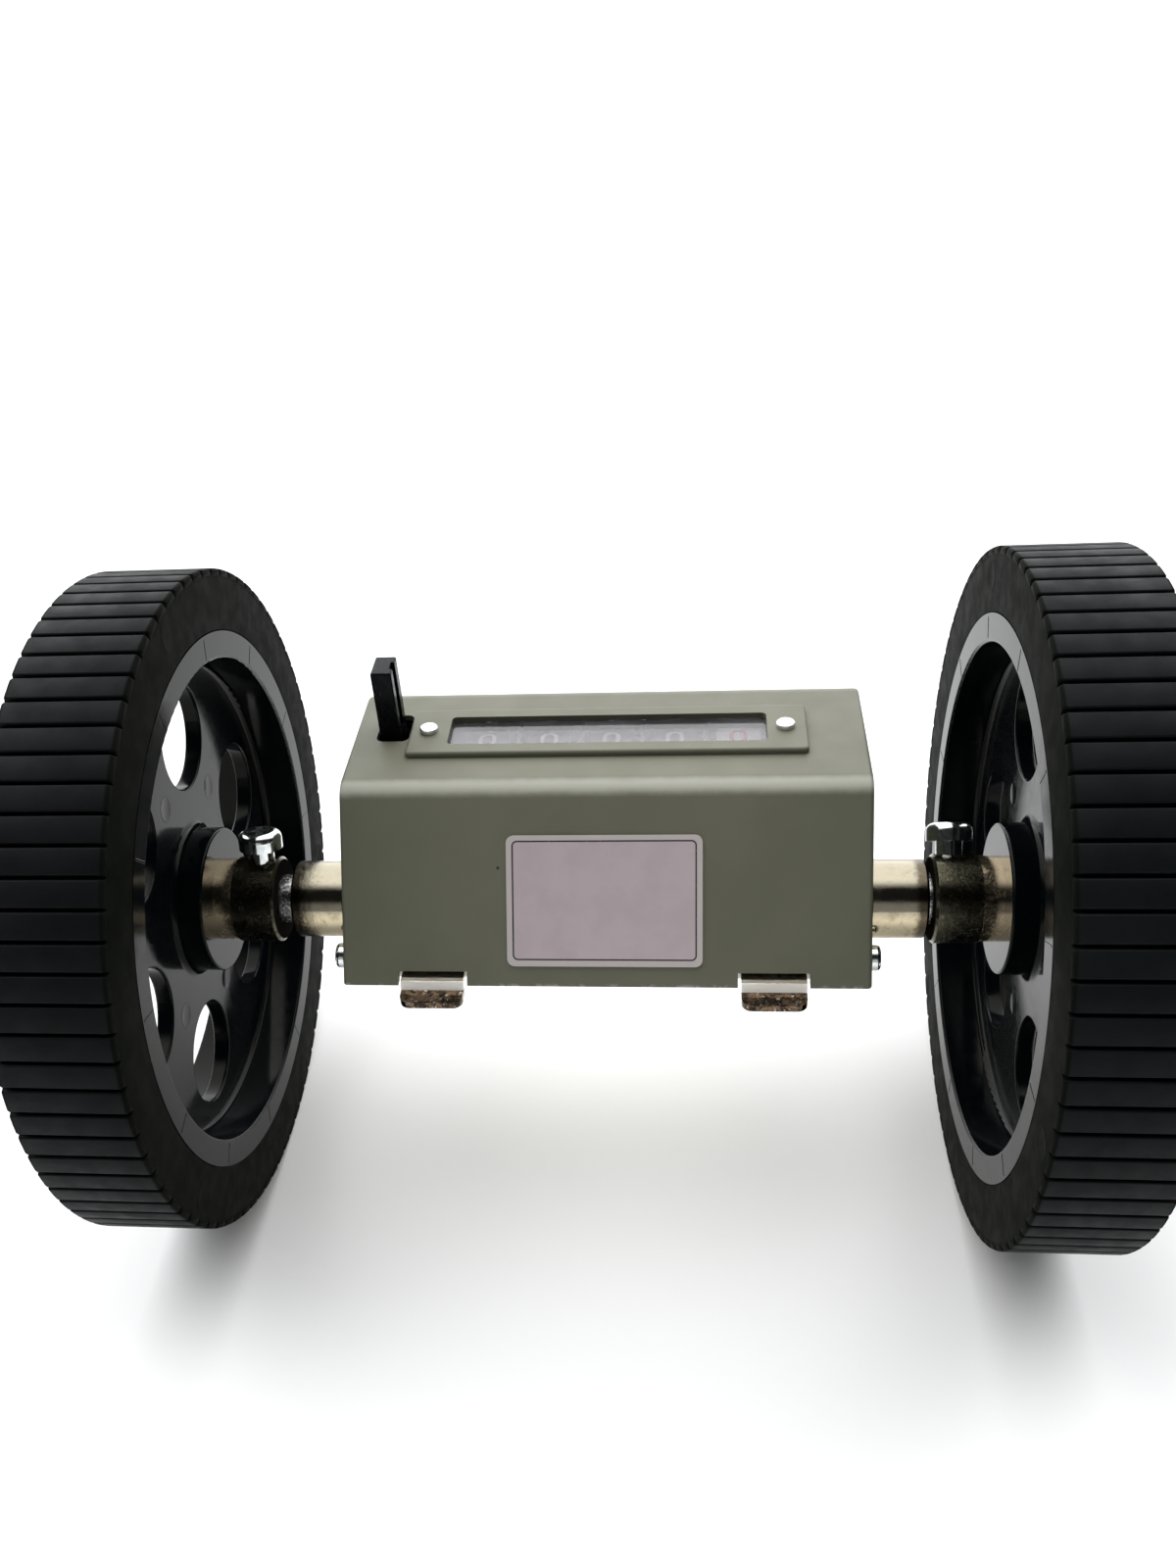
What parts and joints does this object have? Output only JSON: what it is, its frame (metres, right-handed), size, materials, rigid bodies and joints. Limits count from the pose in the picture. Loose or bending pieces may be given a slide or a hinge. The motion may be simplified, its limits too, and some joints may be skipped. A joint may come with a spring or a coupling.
{
  "type": "twin-wheel measuring counter",
  "caption": "length measuring counter: ribbed rubber-tyred wheels on both ends of one axle, a sloped sheet-metal register box with a number window and a reset lever between them",
  "frame": {"origin": "centre of the axle, midway between the two wheels; it is also the centre of the bounding box", "axes": "+X along the axle towards the wheel on the right when the window is read, +Y to the back of the register box, +Z square up out of its top panel"},
  "size_m": [0.1528, 0.106, 0.106],
  "materials": {
    "cover_paint": "grey-green enamel on bent sheet",
    "zinc_plate": "zinc-plated steel",
    "bearing_metal": "turned and plated steel",
    "shaft_steel": "ground bright steel",
    "screw_steel": "bright zinc-plated screw",
    "rivet_metal": "polished aluminium",
    "window_pane": "clear acrylic pane",
    "label_foil": "printed foil label without lettering",
    "wheel_plastic": "black moulded plastic",
    "tyre_rubber": "moulded black rubber",
    "lever_plastic": "black moulded plastic",
    "light_drum_plastic": "white acetal digit drum",
    "dark_drum_plastic": "black acetal digit drum",
    "gear_plastic": "natural acetal",
    "gear_brass": "machined brass",
    "spring_steel": "spring wire"
  },
  "bodies": {
    "housing": {"housing_cover": "cover_paint", "base_plate": "zinc_plate", "left_frame_plate": "zinc_plate", "right_frame_plate": "zinc_plate", "frame_stay": "zinc_plate", "left_bushing": "bearing_metal", "right_bushing": "bearing_metal", "number_shaft": "shaft_steel", "pinion_shaft": "shaft_steel", "idler_stud": "shaft_steel", "window_bezel": "cover_paint", "window_lens": "window_pane", "bezel_rivets": "rivet_metal", "data_label": "label_foil", "cover_screws": "screw_steel", "reset_spring": "spring_steel"},
    "axle": {"main_shaft": "shaft_steel", "shaft_clips": "zinc_plate", "drive_pinion": "gear_brass", "left_hub_sleeve": "bearing_metal", "left_clamp_screw": "screw_steel", "left_wheel_body": "wheel_plastic", "left_tyre": "tyre_rubber", "right_hub_sleeve": "bearing_metal", "right_clamp_screw": "screw_steel", "right_wheel_body": "wheel_plastic", "right_tyre": "tyre_rubber"},
    "idler": {"idler_gear": "gear_plastic"},
    "register_1": {"number_wheel_1": "light_drum_plastic"},
    "register_2": {"number_wheel_2": "dark_drum_plastic"},
    "register_3": {"number_wheel_3": "dark_drum_plastic"},
    "register_4": {"number_wheel_4": "dark_drum_plastic"},
    "register_5": {"number_wheel_5": "dark_drum_plastic"},
    "transfer_1": {"transfer_pinion_1": "gear_plastic"},
    "transfer_2": {"transfer_pinion_2": "gear_plastic"},
    "transfer_3": {"transfer_pinion_3": "gear_plastic"},
    "transfer_4": {"transfer_pinion_4": "gear_plastic"},
    "reset": {"reset_shaft": "shaft_steel", "reset_fingers": "gear_plastic", "reset_lever": "lever_plastic"}
  },
  "joints": [
    {"name": "axle_spin", "type": "hinge", "parent": "housing", "child": "axle", "pos_m": [0, 0, 0], "axis": [1, 0, 0], "continuous": true},
    {"name": "idler_spin", "type": "hinge", "parent": "housing", "child": "idler", "pos_m": [0.0321, 0.009, -0.00002], "axis": [1, 0, 0], "continuous": true},
    {"name": "number_wheel_1_turn", "type": "hinge", "parent": "housing", "child": "register_1", "pos_m": [0.0223, 0.0193, 0.0075], "axis": [1, 0, 0], "continuous": true},
    {"name": "number_wheel_2_turn", "type": "hinge", "parent": "housing", "child": "register_2", "pos_m": [0.0121, 0.0193, 0.0075], "axis": [1, 0, 0], "continuous": true},
    {"name": "number_wheel_3_turn", "type": "hinge", "parent": "housing", "child": "register_3", "pos_m": [0.0019, 0.0193, 0.0075], "axis": [1, 0, 0], "continuous": true},
    {"name": "number_wheel_4_turn", "type": "hinge", "parent": "housing", "child": "register_4", "pos_m": [-0.0083, 0.0193, 0.0075], "axis": [1, 0, 0], "continuous": true},
    {"name": "number_wheel_5_turn", "type": "hinge", "parent": "housing", "child": "register_5", "pos_m": [-0.0185, 0.0193, 0.0075], "axis": [1, 0, 0], "continuous": true},
    {"name": "transfer_pinion_1_turn", "type": "hinge", "parent": "housing", "child": "transfer_1", "pos_m": [0.0172, 0.02788, 0.0003], "axis": [1, 0, 0], "continuous": true},
    {"name": "transfer_pinion_2_turn", "type": "hinge", "parent": "housing", "child": "transfer_2", "pos_m": [0.007, 0.02788, 0.0003], "axis": [1, 0, 0], "continuous": true},
    {"name": "transfer_pinion_3_turn", "type": "hinge", "parent": "housing", "child": "transfer_3", "pos_m": [-0.0032, 0.02788, 0.0003], "axis": [1, 0, 0], "continuous": true},
    {"name": "transfer_pinion_4_turn", "type": "hinge", "parent": "housing", "child": "transfer_4", "pos_m": [-0.0134, 0.02788, 0.0003], "axis": [1, 0, 0], "continuous": true},
    {"name": "reset_lever_press", "type": "hinge", "parent": "housing", "child": "reset", "pos_m": [-0.0343, 0.0296, 0.0146], "axis": [1, 0, 0], "range_deg": [0, 10], "stiffness_Nm_per_rad": 0.06, "springref_deg": -5.73}
  ],
  "couplings": [
    {"joint": "idler_spin", "follows": "axle_spin", "ratio": -0.8},
    {"joint": "number_wheel_1_turn", "follows": "axle_spin", "ratio": 0.33333},
    {"joint": "number_wheel_2_turn", "follows": "axle_spin", "ratio": 0.033333},
    {"joint": "number_wheel_3_turn", "follows": "axle_spin", "ratio": 0.0033333},
    {"joint": "number_wheel_4_turn", "follows": "axle_spin", "ratio": 0.00033333},
    {"joint": "number_wheel_5_turn", "follows": "axle_spin", "ratio": 0.000033333},
    {"joint": "transfer_pinion_1_turn", "follows": "axle_spin", "ratio": -0.083333},
    {"joint": "transfer_pinion_2_turn", "follows": "axle_spin", "ratio": -0.0083333},
    {"joint": "transfer_pinion_3_turn", "follows": "axle_spin", "ratio": -0.00083333},
    {"joint": "transfer_pinion_4_turn", "follows": "axle_spin", "ratio": -0.000083333}
  ]
}
